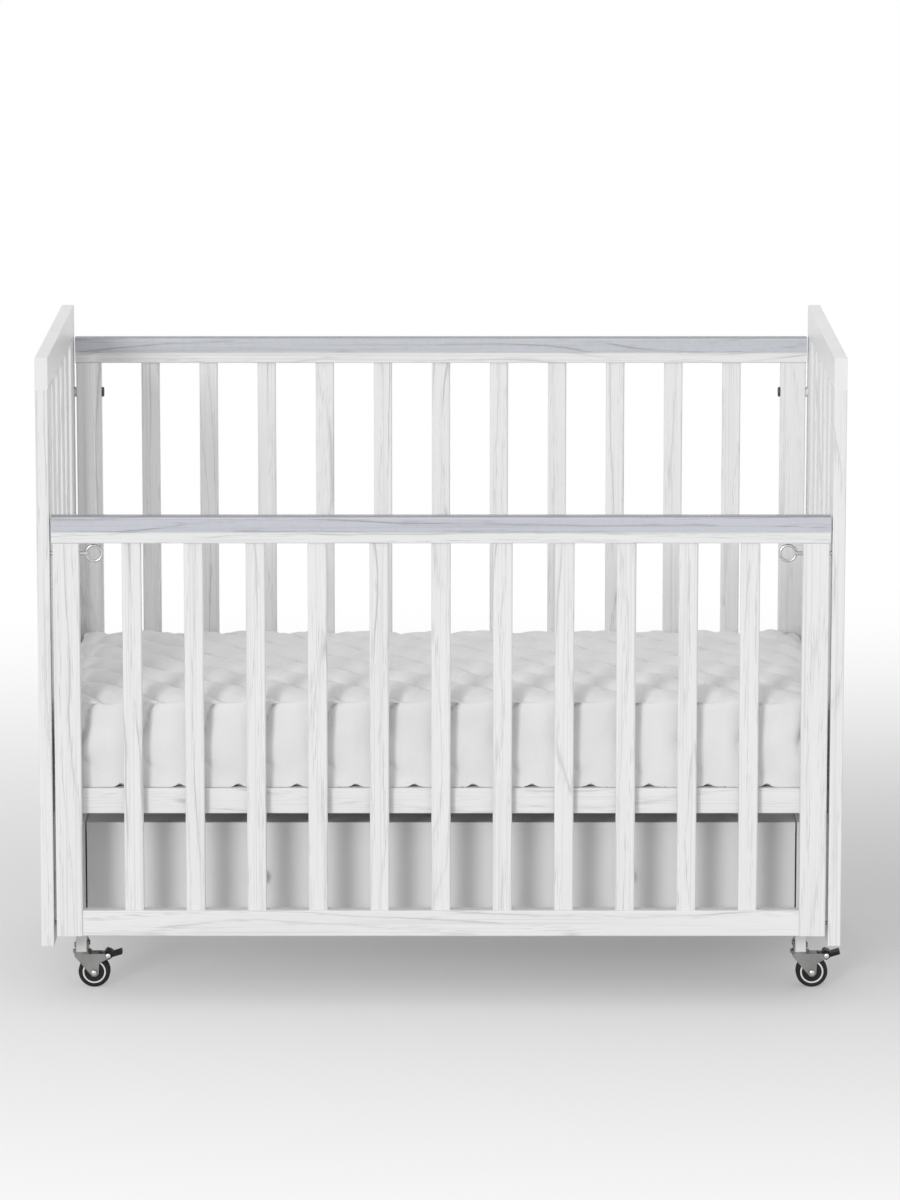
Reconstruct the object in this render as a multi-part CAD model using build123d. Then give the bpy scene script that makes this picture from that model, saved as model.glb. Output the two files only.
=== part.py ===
from build123d import *
import os
from math import asin, cos, degrees, hypot, radians, sin

# Pendulum crib, in millimetres. +X runs along the length, +Y to the fixed rear side, +Z up.
# The origin is on the floor, under the middle of the crib.

# Overall size of the crib body
crib_length = 1244.0
crib_depth = 650.0
crib_height = 1020.0
body_bottom = 97.0

# End panels
end_thickness = 20.0
cap_height = 50.0
post_depth = 84.0
end_slat_count = 4
end_slat_width = 50.0
end_slat_thickness = 18.0
end_rail_bottom = 125.0
end_rail_height = 80.0

# Long side panels: the front one drops, the rear one is bolted in
side_gap = 2.5
side_thickness = 22.0
rear_top_gap = 1.0
stile_width = 41.0
stile_inset = 1.5
top_rail_height = 40.0
bottom_rail_height = 41.0
side_slat_count = 11
side_slat_width = 30.0
side_slat_thickness = 13.0
drop_side_bottom = 112.0
drop_travel = 195.0
side_height = crib_height - cap_height - rear_top_gap - drop_side_bottom - drop_travel

# Clear strip over each long top rail
strip_wall = 2.0
strip_leg = 24.0

# Drop side pins, grooves and latches
pin_diameter = 6.5
groove_width = 8.0
groove_depth = 8.0
guide_pin_rise = 19.0
guide_pin_grip = 25.0
latch_drop = 59.0
latch_rise = side_height - latch_drop
latch_travel = 10.0
pin_tip_gap = 1.5
pin_inner_reach = 12.5
ring_outer_diameter = 29.0
ring_wire = 4.5
collar_diameter = 10.0
collar_length = 3.0
spring_length = 20.0
spring_wire = 1.2
spring_turns = 7
spring_gap = 0.3
pocket_play = 0.6

# Mattress base and mattress
base_bottom = 302.5
base_rail_height = 40.0
base_rail_thickness = 20.0
base_slat_count = 12
base_slat_width = 60.0
base_slat_thickness = 10.0
ledger_size = 15.0
mattress_play = 2.0
mattress_length = crib_length - 2 * (end_thickness + mattress_play)
mattress_depth = crib_depth - 2 * (side_thickness + strip_wall + mattress_play)
mattress_height = 149.5
mattress_puffs = 13
mattress_corner = 30.0
mattress_end_draw = 24.5
channel_depth = 7.0
soft_clearance = 0.8
slat_end_margin = 40.0
slat_end_play = 0.5

# Pedestal under the crib
pedestal_end_gap = 27.0
pedestal_setback = 110.0
pedestal_length = crib_length - 2 * (end_thickness + pedestal_end_gap)
pedestal_depth = crib_depth - 2 * pedestal_setback
pedestal_top = 270.0
pedestal_board = 16.0
pedestal_foot_bottom = 61.0
pedestal_foot_depth = 50.0
pedestal_arch_top = 85.0
arch_radius = 12.0
top_rail_depth = 70.0
top_rail_drop = 4.0

# Drawer
drawer_gap = 2.5
drawer_front_bottom = 87.0
drawer_front_top = pedestal_top
drawer_board = 12.0
drawer_box_height = 130.0
drawer_back_gap = 28.0
drawer_bottom_thickness = 4.0
runner_thickness = 12.0
runner_overlap = 13.0
runner_clearance = 14.0
drawer_bottom_rise = 8.0
drawer_bottom_slot = 5.0
knob_spacing = 0.5 * pedestal_length + 1.0
knob_height = 186.0
knob_diameter = 27.0
knob_length = 22.0
knob_neck_diameter = 14.0
knob_rim_height = 15.0

# Swing: rollers on the crib run on curved tracks on the pedestal, about a high centre
swing_centre_height = 1300.0
swing_angle = 2.5
roller_radius = 16.0
roller_flange = 3.0
roller_inset = 85.0
roller_spread = pedestal_depth - 2 * roller_inset
roller_height = 165.0
roller_gap = 0.3
track_thickness = 8.0
track_width = 14.0
track_end_gap = 1.3
buffer_diameter = 8.0
roller_bolt_diameter = 8.0
roller_bolt_head = 14.0
roller_head_recess = 6.0
roller_shoulder_diameter = 13.0
track_screw_share = 0.72
countersink_depth = 2.5

# Castors
wheel_radius = 25.0
tyre_width = 19.0
tread_inner_radius = 19.5
hub_cover_radius = 16.0
axle_diameter = 6.0
castor_trail = 19.0
fork_cheek = 2.0
fork_side_gap = 1.2
fork_top = 54.5
fork_plate = 3.5
fork_back = 12.0
fork_roof_length = 39.0
fork_nose_reach = 3.5
fork_foot = 3.0
fork_foot_drop = 7.0
race_diameter = 30.0
race_height = 4.2
kingpin_diameter = 8.0
bracket_sheet = 2.0
bracket_length = 34.0
bracket_ear = 13.0
brake_pin_reach = 41.5
brake_pin_height = 52.0
brake_pin_diameter = 4.0
brake_pin_head = 7.0
pedal_reach = 22.0
pedal_thickness = 6.0
pedal_rise = 7.5
rivet_diameter = 13.0
running_gap = 0.05

# Fasteners
bolt_diameter = 6.0
bolt_head_diameter = 16.0
bolt_head_height = 4.0
screw_diameter = 4.0
screw_head_diameter = 8.0
hole_play = 0.4
head_sink = 0.5
side_bolt_inset = 91.0
side_bolt_grip = 12.0
base_bolt_reach = 40.0
joint_screw_reach = 30.0
screw_tip_cover = 3.0
screw_head_height = 2.0
edge_radius = 2.0
soft_edge_radius = 1.0

# Places that follow from the sizes above
inner_x = crib_length / 2 - end_thickness
outer_x = crib_length / 2
half_depth = crib_depth / 2
cap_bottom = crib_height - cap_height
rail_half_length = inner_x - side_gap
stile_outer = rail_half_length - stile_inset
stile_inner = stile_outer - stile_width
panel_y = half_depth - side_thickness / 2 - strip_wall
rear_side_bottom = drop_side_bottom + drop_travel
board_x = pedestal_length / 2
board_inner_x = board_x - pedestal_board
pedestal_front = pedestal_depth / 2
top_rail_start = -pedestal_front + pedestal_board + 1.0
drawer_box_depth = pedestal_depth - 2 * pedestal_board - drawer_back_gap
wheel_y = pedestal_front - pedestal_foot_depth / 2
castor_x = board_x - pedestal_board / 2
latch_z = drop_side_bottom + latch_rise
guide_z = drop_side_bottom + guide_pin_rise
pin_tip = inner_x + groove_depth - pin_tip_gap
base_top = base_bottom + base_rail_height
base_rail_y = panel_y - side_thickness / 2 - 1.0
roller_y = roller_spread / 2
roller_path = hypot(roller_y, swing_centre_height - roller_height)
track_radius = roller_path + roller_radius + roller_gap
track_reach = (pedestal_front - track_end_gap) / (track_radius + track_width)
track_half_angle = degrees(asin(track_reach))
roller_flange_start = board_x + track_thickness + 0.8
runner_top = pedestal_arch_top + runner_thickness + runner_clearance

nodes = {}


def block(x0, x1, y0, y1, z0, z1):
    """A plain box between three pairs of faces, given in any order."""
    size = abs(x1 - x0), abs(y1 - y0), abs(z1 - z0)
    return Pos((x0 + x1) / 2, (y0 + y1) / 2, (z0 + z1) / 2) * Box(*size)


def rounded(solid, axis, radius=edge_radius):
    """The solid with its edges along one axis rounded."""
    return fillet(solid.edges().filter_by(axis), radius)


def rod(start, axis, length, diameter):
    """A cylinder from a point along a row axis, given as a unit vector."""
    plane = Plane(origin=start, z_dir=axis)
    return extrude(plane * Circle(diameter / 2), length)


def both_sides(piece):
    """The piece and its mirror image across the middle of the length."""
    return [piece, mirror(piece, about=Plane.YZ)]


def four_corners(piece):
    """The piece and its mirror images at the other three corners."""
    pair = both_sides(piece)
    return pair + [mirror(p, about=Plane.XZ) for p in pair]


def solids_of(pieces):
    """Every solid in a list of pieces."""
    return [s for piece in pieces for s in piece.solids()]


def add_node(name, *pieces):
    nodes[name] = Compound(children=solids_of(pieces))


def cut_all(piece, tools):
    for tool in tools:
        piece = piece - tool
    return piece


# Long side panel: rails, stiles and slats in one upright plane
def side_panel(prefix, y, bottom):
    top = bottom + side_height
    wood_top = top - strip_wall
    rail_bottom = wood_top - top_rail_height
    low_rail_top = bottom + bottom_rail_height
    y0, y1 = y - side_thickness / 2, y + side_thickness / 2

    rail = rounded(
        block(-rail_half_length, rail_half_length, y0, y1, rail_bottom, wood_top), Axis.X
    )
    strip = block(
        -rail_half_length, rail_half_length, y0 - strip_wall, y1 + strip_wall, top - strip_leg, top
    )
    strip = fillet(strip.edges().filter_by(Axis.X).group_by(Axis.Z)[-1], edge_radius + strip_wall)
    strip = strip - rail
    low_rail = block(-stile_inner, stile_inner, y0, y1, bottom, low_rail_top)

    pitch = (2 * stile_inner + side_slat_width) / (side_slat_count + 1)
    slats = []
    for i in range(side_slat_count):
        x = (i - (side_slat_count - 1) / 2) * pitch
        slat = block(
            x - side_slat_width / 2,
            x + side_slat_width / 2,
            y - side_slat_thickness / 2,
            y + side_slat_thickness / 2,
            low_rail_top,
            rail_bottom,
        )
        slats.append(rounded(slat, Axis.Z, 3.0))

    stile = rounded(block(stile_inner, stile_outer, y0, y1, bottom, rail_bottom), Axis.Z)
    add_node(prefix + "_top_rail", rail)
    add_node(prefix + "_rail_strip", strip)
    add_node(prefix + "_bottom_rail", rounded(low_rail, Axis.X))
    add_node(prefix + "_slats", *slats)
    return stile


# End panels: a cap over two posts, with slats and a low rail between them
def end_panels():
    post = block(inner_x, outer_x, -half_depth, -half_depth + post_depth, body_bottom, cap_bottom)
    post = rounded(post, Axis.Z)
    rear_post = mirror(post, about=Plane.XZ)

    # A groove guides the drop side's pins, and ends in a catch hole for the raised side.
    groove_bottom = guide_z - pin_diameter / 2 - roller_gap
    groove_top = latch_z + drop_travel + groove_width / 2
    groove = block(
        inner_x,
        inner_x + groove_depth,
        -panel_y - groove_width / 2,
        -panel_y + groove_width / 2,
        groove_bottom,
        groove_top,
    )
    catch = rod((inner_x, -panel_y, latch_z + drop_travel), (1, 0, 0), groove_depth + 5, groove_width)
    front_post = post - groove - catch
    front_post = cut_all(front_post, base_bolt_shapes(-1, hole=True))
    rear_post = cut_all(rear_post, base_bolt_shapes(1, hole=True))
    rear_post = cut_all(rear_post, side_bolt_shanks(hole=True))
    add_node("end_posts", *both_sides(front_post), *both_sides(rear_post))

    cap = block(inner_x, outer_x, -half_depth, half_depth, cap_bottom, crib_height)
    add_node("end_caps", *both_sides(rounded(cap, Axis.Y, 1.5)))

    clear = crib_depth - 2 * post_depth
    gap = (clear - end_slat_count * end_slat_width) / (end_slat_count + 1)
    x = (inner_x + outer_x) / 2
    low_top = end_rail_bottom + end_rail_height
    slats = []
    for i in range(end_slat_count):
        y = -clear / 2 + gap + end_slat_width / 2 + i * (gap + end_slat_width)
        slat = block(
            x - end_slat_thickness / 2,
            x + end_slat_thickness / 2,
            y - end_slat_width / 2,
            y + end_slat_width / 2,
            low_top,
            cap_bottom,
        )
        slats += both_sides(rounded(slat, Axis.Z))
    add_node("end_slats", *slats)

    low_rail = block(inner_x, outer_x, -clear / 2, clear / 2, end_rail_bottom, low_top)
    low_rail = rounded(low_rail, Axis.Y)
    low_rail = cut_all(low_rail, [roller_bolt(y, hole=True) for y in (-roller_y, roller_y)])
    add_node("end_bottom_rails", *both_sides(low_rail))


# Bolts that hold the rear side: heads inside the crib, with a spacer against the post
def side_bolt_heights():
    return [rear_side_bottom + side_bolt_inset, rear_side_bottom + side_height - side_bolt_inset]


def side_bolt_shanks(hole=False):
    play = hole_play if hole else 0.0
    length = stile_width + stile_inset + side_gap + side_bolt_grip
    return [
        rod((stile_inner, panel_y, z), (1, 0, 0), length + play, bolt_diameter + play)
        for z in side_bolt_heights()
    ]


def rear_side():
    stile = side_panel("rear", panel_y, rear_side_bottom)
    stile = cut_all(stile, side_bolt_shanks(hole=True))
    add_node("rear_stiles", *both_sides(stile))
    bolts, spacers = [], []
    for z, shank in zip(side_bolt_heights(), side_bolt_shanks()):
        head = rod((stile_inner, panel_y, z), (-1, 0, 0), bolt_head_height, bolt_head_diameter)
        head = fillet(head.edges().group_by(Axis.X)[0], 1.5)
        socket = extrude(
            Plane(origin=(stile_inner - bolt_head_height, panel_y, z), z_dir=(1, 0, 0))
            * RegularPolygon(2.6, 6),
            2.5,
        )
        bolts += both_sides(head + shank - socket)
        spacer_length = inner_x - stile_outer
        spacer = rod((stile_outer, panel_y, z), (1, 0, 0), spacer_length, bolt_head_diameter)
        bore = rod((stile_outer, panel_y, z), (1, 0, 0), spacer_length, bolt_diameter + hole_play)
        spacers += both_sides(spacer - bore)
    add_node("rear_side_bolts", *bolts)
    add_node("rear_side_spacers", *spacers)


# Mattress base: two rails bolted to the posts, ledgers and cross slats
def base_bolt_shapes(side, hole=False):
    """Bolt at one rail's end, from a recess in the post's outer face. side is -1 front, 1 rear."""
    y = side * (base_rail_y - base_rail_thickness / 2)
    z = base_bottom + base_rail_height / 2
    play = hole_play if hole else 0.0
    head_recess = bolt_head_height + head_sink
    head_start = outer_x - head_recess
    head_length = head_recess + 1 if hole else bolt_head_height
    head = rod((head_start, y, z), (1, 0, 0), head_length, bolt_head_diameter + play)
    tip = inner_x - base_bolt_reach
    shank = rod((tip, y, z), (1, 0, 0), head_start - tip, bolt_diameter + play)
    return [head, shank] if hole else [head + shank]


def mattress_base():
    rail = block(
        -inner_x,
        inner_x,
        -base_rail_y,
        -base_rail_y + base_rail_thickness,
        base_bottom,
        base_top,
    )
    rail = rounded(rail, Axis.X)
    rail = cut_all(rail, base_bolt_shapes(-1, hole=True))
    rail = cut_all(rail, [mirror(s, about=Plane.YZ) for s in base_bolt_shapes(-1, hole=True)])
    add_node("base_rails", rail, mirror(rail, about=Plane.XZ))

    between = base_rail_y - base_rail_thickness
    ledger_top = base_top - base_slat_thickness
    ledger = block(
        -inner_x + slat_end_margin / 2,
        inner_x - slat_end_margin / 2,
        -between,
        -between + ledger_size,
        ledger_top - ledger_size,
        ledger_top,
    )
    add_node("base_ledgers", ledger, mirror(ledger, about=Plane.XZ))

    pitch = 2 * (inner_x - slat_end_margin) / base_slat_count
    slats = []
    for i in range(base_slat_count):
        x = (i - (base_slat_count - 1) / 2) * pitch
        slat = block(
            x - base_slat_width / 2,
            x + base_slat_width / 2,
            -between + slat_end_play,
            between - slat_end_play,
            ledger_top,
            base_top,
        )
        slats.append(slat)
    add_node("base_slats", *slats)
    add_node("base_bolts", *both_sides(base_bolt_shapes(-1)[0]), *both_sides(base_bolt_shapes(1)[0]))


# Mattress: a row of puffs across the length, drawn in at the channels and at both ends
def mattress():
    bottom = base_top + soft_clearance
    middle = bottom + mattress_height / 2

    def section(x, draw_in):
        width, height = mattress_depth - 2 * draw_in, mattress_height - 2 * draw_in
        outline = RectangleRounded(width, height, mattress_corner)
        return Plane(origin=(x, 0, middle), x_dir=(0, 1, 0), z_dir=(1, 0, 0)) * outline

    puff = mattress_length / mattress_puffs
    shoulder = 0.22 * puff
    whole = None
    for i in range(mattress_puffs):
        x = -mattress_length / 2 + i * puff
        first, last = i == 0, i == mattress_puffs - 1
        stations = [(x, mattress_end_draw if first else channel_depth)]
        if first:
            stations.append((x + shoulder, channel_depth))
        stations.append((x + puff / 2, 0))
        if last:
            stations.append((x + puff - shoulder, channel_depth))
        stations.append((x + puff, mattress_end_draw if last else channel_depth))
        piece = loft([section(place, draw_in) for place, draw_in in stations])
        whole = piece if whole is None else whole + piece
    add_node("mattress", whole)


# Drop side with its guide pins, and a spring latch in each stile
def drop_side():
    stile = side_panel("drop", -panel_y, drop_side_bottom)
    guide_start = stile_outer - guide_pin_grip
    guide = rod((guide_start, -panel_y, guide_z), (1, 0, 0), pin_tip - guide_start, pin_diameter)
    bore_diameter = pin_diameter + 2 * running_gap
    bore = rod((stile_inner, -panel_y, latch_z), (1, 0, 0), stile_width, bore_diameter)
    pocket_start = stile_outer - spring_length - collar_length - latch_travel
    pocket_length = stile_outer - pocket_start
    pocket = rod(
        (pocket_start, -panel_y, latch_z), (1, 0, 0), pocket_length, collar_diameter + pocket_play
    )
    stile = stile - guide - bore - pocket
    add_node("drop_stiles", *both_sides(stile))
    add_node("drop_guide_pins", *both_sides(guide))

    ring_x = stile_inner - pin_inner_reach - ring_outer_diameter / 2 + ring_wire
    pin_start = stile_inner - pin_inner_reach
    pin = rod((pin_start, -panel_y, latch_z), (1, 0, 0), pin_tip - pin_start, pin_diameter)
    collar_start = pocket_start + spring_length
    pin = pin + rod((collar_start, -panel_y, latch_z), (1, 0, 0), collar_length, collar_diameter)
    ring = Pos(ring_x, -panel_y, latch_z) * Rot(90, 0, 0) * Torus(
        (ring_outer_diameter - ring_wire) / 2, ring_wire / 2
    )
    pin = pin + ring

    coil_radius = (pin_diameter + spring_wire) / 2 + spring_gap
    coil_length = spring_length - spring_wire - 2 * spring_gap
    coil = Helix(coil_length / spring_turns, coil_length, coil_radius)
    wire = sweep(Plane(origin=coil @ 0, z_dir=coil % 0) * Circle(spring_wire / 2), path=coil)
    start = pocket_start + spring_wire / 2 + spring_gap
    spring = Pos(start, -panel_y, latch_z) * Rot(0, 90, 0) * wire

    for name, index in (("right", 0), ("left", 1)):
        add_node("latch_pin_" + name, both_sides(pin)[index])
        add_node("latch_spring_" + name, both_sides(spring)[index])


# Swing: bolts and rollers on the crib, curved tracks and buffers on the pedestal
def roller_bolt(y, hole=False):
    play = hole_play if hole else 0.0
    head_start = outer_x - roller_head_recess
    head_length = roller_head_recess + 1 if hole else roller_head_recess - head_sink
    head = rod((head_start, y, roller_height), (1, 0, 0), head_length, roller_bolt_head + play)
    tip = board_x + 1.0
    shank_length = head_start - tip
    shank = rod((tip, y, roller_height), (1, 0, 0), shank_length, roller_bolt_diameter + play)
    if hole:
        return head + shank
    start = roller_flange_start + roller_flange + roller_gap
    shoulder = rod(
        (start, y, roller_height), (1, 0, 0), inner_x - start, roller_shoulder_diameter
    )
    return head + shank + shoulder


def roller(y):
    start = roller_flange_start - track_thickness
    tread = rod((start, y, roller_height), (1, 0, 0), track_thickness, 2 * roller_radius)
    flange_diameter = 2 * (roller_radius + roller_flange)
    flange = rod(
        (roller_flange_start, y, roller_height), (1, 0, 0), roller_flange, flange_diameter
    )
    bore_diameter = roller_bolt_diameter + 2 * running_gap
    bore = rod((start, y, roller_height), (1, 0, 0), track_thickness + roller_flange, bore_diameter)
    return tread + flange - bore


def on_arc(radius, angle):
    """A point on an arc about the swing centre, at an angle in degrees from straight down."""
    a = radians(angle)
    return radius * sin(a), swing_centre_height - radius * cos(a)


def swing_gear():
    bolts = [roller_bolt(y) for y in (-roller_y, roller_y)]
    add_node("roller_bolts", *both_sides(bolts[0]), *both_sides(bolts[1]))
    for end, y in (("front", -roller_y), ("rear", roller_y)):
        right, left = both_sides(roller(y))
        add_node("swing_roller_" + end + "_right", right)
        add_node("swing_roller_" + end + "_left", left)

    # The track is a flat steel bar bent to an arc about the swing centre.
    inner, outer = track_radius, track_radius + track_width
    a = track_half_angle
    top_left, top_mid, top_right = on_arc(inner, -a), on_arc(inner, 0), on_arc(inner, a)
    low_left, low_mid, low_right = on_arc(outer, -a), on_arc(outer, 0), on_arc(outer, a)
    outline = [
        ThreePointArc(top_left, top_mid, top_right),
        Line(top_right, low_right),
        ThreePointArc(low_right, low_mid, low_left),
        Line(low_left, top_left),
    ]
    face = Plane.YZ * make_face([edge for line in outline for edge in line.edges()])
    track = Pos(board_x, 0, 0) * extrude(face, track_thickness, dir=(1, 0, 0))
    screws = []
    face_x = board_x + track_thickness
    for angle in (-track_screw_share * a, 0, track_screw_share * a):
        y, z = on_arc(inner + track_width / 2, angle)
        start = board_inner_x + screw_tip_cover
        shank = rod((start, y, z), (1, 0, 0), face_x - start, screw_diameter)
        head = Pos(face_x - countersink_depth / 2, y, z) * Rot(0, -90, 0) * Cone(
            screw_head_diameter / 2, screw_diameter / 2, countersink_depth
        )
        screw = shank + head
        track = track - screw
        screws.append(screw)
    add_node("swing_tracks", *both_sides(track))

    # A rubber buffer stands where the roller stops at each end of its travel.
    reach = degrees((roller_radius + roller_flange + buffer_diameter / 2 + roller_gap) / roller_path)
    stop_angle = degrees(asin(roller_y / roller_path)) + swing_angle + reach
    y, z = on_arc(roller_path + roller_radius - buffer_diameter / 2, stop_angle)
    buffer_piece = rod((board_x, y, z), (1, 0, 0), track_thickness, buffer_diameter)
    add_node("swing_buffers", *four_corners(buffer_piece))
    return screws


# Pedestal: two boards on feet, a back panel, top rails and drawer runners
def pedestal_screw_places():
    """Centres of the screws through each board into the rails and the back panel."""
    rail_z = pedestal_top - top_rail_drop - pedestal_board / 2
    back = pedestal_front - pedestal_board / 2
    return [
        (top_rail_start + 0.25 * top_rail_depth, rail_z),
        (top_rail_start + 0.75 * top_rail_depth, rail_z),
        (back, 0.7 * drawer_front_bottom + 0.3 * pedestal_top),
        (back, 0.3 * drawer_front_bottom + 0.7 * pedestal_top),
    ]


def pedestal(track_screws):
    foot_end = pedestal_front - pedestal_foot_depth
    foot_z = pedestal_foot_bottom
    board = block(
        board_inner_x, board_x, -pedestal_front, pedestal_front, foot_z, pedestal_top
    )
    arch = block(
        board_inner_x, board_x, -foot_end, foot_end, foot_z - arch_radius, pedestal_arch_top
    )
    board = board - rounded(arch, Axis.X, arch_radius)
    screw_end = board_x - pedestal_board - joint_screw_reach
    joint_screws = []
    for y, z in pedestal_screw_places():
        head_x = board_x - screw_tip_cover
        shank = rod((screw_end, y, z), (1, 0, 0), head_x - screw_end, screw_diameter)
        head = rod((head_x, y, z), (1, 0, 0), screw_head_height, screw_head_diameter)
        joint_screws.append(shank + head)
    castor_screws = castor_screw_shapes()
    board = cut_all(board, joint_screws + track_screws + castor_screws)
    add_node("pedestal_side_right", board)
    add_node("pedestal_side_left", mirror(board, about=Plane.YZ))

    joints = [s for screw in joint_screws for s in both_sides(screw)]
    mounted = [s for screw in track_screws + castor_screws for s in both_sides(screw)]
    rail_end = top_rail_start + top_rail_depth
    rail_top = pedestal_top - top_rail_drop
    rail = block(
        -board_inner_x, board_inner_x, top_rail_start, rail_end, rail_top - pedestal_board, rail_top
    )
    back = block(
        -board_inner_x,
        board_inner_x,
        pedestal_front - pedestal_board,
        pedestal_front,
        drawer_front_bottom,
        pedestal_top,
    )
    add_node("pedestal_top_rail", cut_all(rail, joints))
    add_node("pedestal_back", cut_all(back, joints))
    add_node("pedestal_screws", *joints, *mounted)

    drawer_end = -pedestal_front + pedestal_board + drawer_box_depth
    side_x = board_inner_x - runner_overlap
    runner = block(
        side_x - drawer_board,
        board_inner_x,
        top_rail_start,
        drawer_end,
        runner_top - runner_thickness,
        runner_top,
    )
    add_node("drawer_runners", *both_sides(runner))


# Drawer: a smooth front with two knobs on an open box
def drawer():
    front_half = board_inner_x - drawer_gap
    front_y = -pedestal_front
    front_back = front_y + pedestal_board
    front = block(-front_half, front_half, front_y, front_back, drawer_front_bottom, drawer_front_top)
    front = rounded(front, Axis.X, soft_edge_radius)

    side_x = board_inner_x - runner_overlap
    floor = runner_top
    box_end = front_back + drawer_box_depth
    box_top = floor + drawer_box_height
    side = block(side_x - drawer_board, side_x, front_back, box_end, floor, box_top)
    back = block(
        -side_x + drawer_board, side_x - drawer_board, box_end - drawer_board, box_end, floor, box_top
    )
    panel_z = floor + drawer_bottom_rise
    slot = drawer_bottom_slot
    panel = block(
        -side_x + drawer_board - slot,
        side_x - drawer_board + slot,
        front_back,
        box_end - drawer_board + slot,
        panel_z,
        panel_z + drawer_bottom_thickness,
    )
    add_node("drawer_sides", *both_sides(side - panel))
    add_node("drawer_back", back - panel)
    add_node("drawer_bottom", panel)

    rim = knob_diameter / 2
    neck = knob_neck_diameter / 2
    crown_height = knob_length - knob_rim_height
    crown_radius = (rim**2 + crown_height**2) / (2 * crown_height)
    half_angle = asin(rim / crown_radius) / 2
    crown_middle = (
        crown_radius * sin(half_angle), knob_length - crown_radius * (1 - cos(half_angle))
    )
    profile = Polyline((0, 0), (neck, 0), (neck, 7), (rim, 12), (rim, knob_rim_height))
    crown = ThreePointArc((rim, knob_rim_height), crown_middle, (0, knob_length))
    axis = Line((0, knob_length), (0, 0))
    spin = make_face([edge for line in (profile, crown, axis) for edge in line.edges()])
    turned = revolve(Plane.XZ * spin, Axis.Z)
    knobs, screws = [], []
    for x in (-knob_spacing / 2, knob_spacing / 2):
        knob = Pos(x, front_y, knob_height) * Rot(90, 0, 0) * turned
        shank_length = pedestal_board + 0.55 * knob_length
        shank = rod((x, front_back, knob_height), (0, -1, 0), shank_length, screw_diameter)
        head = rod((x, front_back, knob_height), (0, 1, 0), screw_head_height, screw_head_diameter)
        screw = shank + head
        front = front - screw
        knobs.append(knob - screw)
        screws.append(screw)
    add_node("drawer_front", front)
    add_node("drawer_knobs", *knobs)
    add_node("knob_screws", *screws)


# Castors: a bracket clasps each foot, and the fork swivels on its kingpin
def castor_screw_shapes():
    """Screws through the ears of both brackets on the right board, one outside and one inside."""
    z = pedestal_foot_bottom + 0.6 * bracket_ear
    depth = 0.75 * pedestal_board
    middle = Plane(origin=(castor_x, 0, 0), z_dir=(1, 0, 0))
    screws = []
    for y in (-wheel_y, wheel_y):
        for across, inside in ((-bracket_length / 4, False), (bracket_length / 4, True)):
            place = y + across
            length = depth + bracket_sheet
            shank = rod((board_x - depth, place, z), (1, 0, 0), length, screw_diameter)
            head = rod(
                (board_x + bracket_sheet, place, z), (1, 0, 0), screw_head_height, screw_head_diameter
            )
            screw = shank + head
            screws.append(mirror(screw, about=middle) if inside else screw)
    return screws


def castor_bracket(x, y):
    half = bracket_length / 2
    low = pedestal_foot_bottom - bracket_sheet
    ear_top = pedestal_foot_bottom + bracket_ear
    inner, outer = x - pedestal_board / 2, x + pedestal_board / 2
    shell = block(inner - bracket_sheet, outer + bracket_sheet, y - half, y + half, low, ear_top)
    foot = block(inner, outer, y - half, y + half, pedestal_foot_bottom, ear_top)
    rivet_top = fork_top - fork_plate - running_gap
    kingpin = rod((x, y, rivet_top), (0, 0, 1), low - rivet_top, kingpin_diameter)
    rivet = rod((x, y, rivet_top - 2), (0, 0, 1), 2, rivet_diameter)
    return shell - foot + kingpin + rivet


def capped_pin(x, y, z, half_length, diameter, head_diameter, head_height):
    """A pin across the fork, with a low head outside each cheek."""
    pin = rod((x, y - half_length, z), (0, 1, 0), 2 * half_length, diameter)
    head = rod((x, y - half_length - head_height, z), (0, 1, 0), head_height, head_diameter)
    far_head = mirror(head, about=Plane(origin=(0, y, 0), z_dir=(0, 1, 0)))
    return pin + head + far_head


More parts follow.
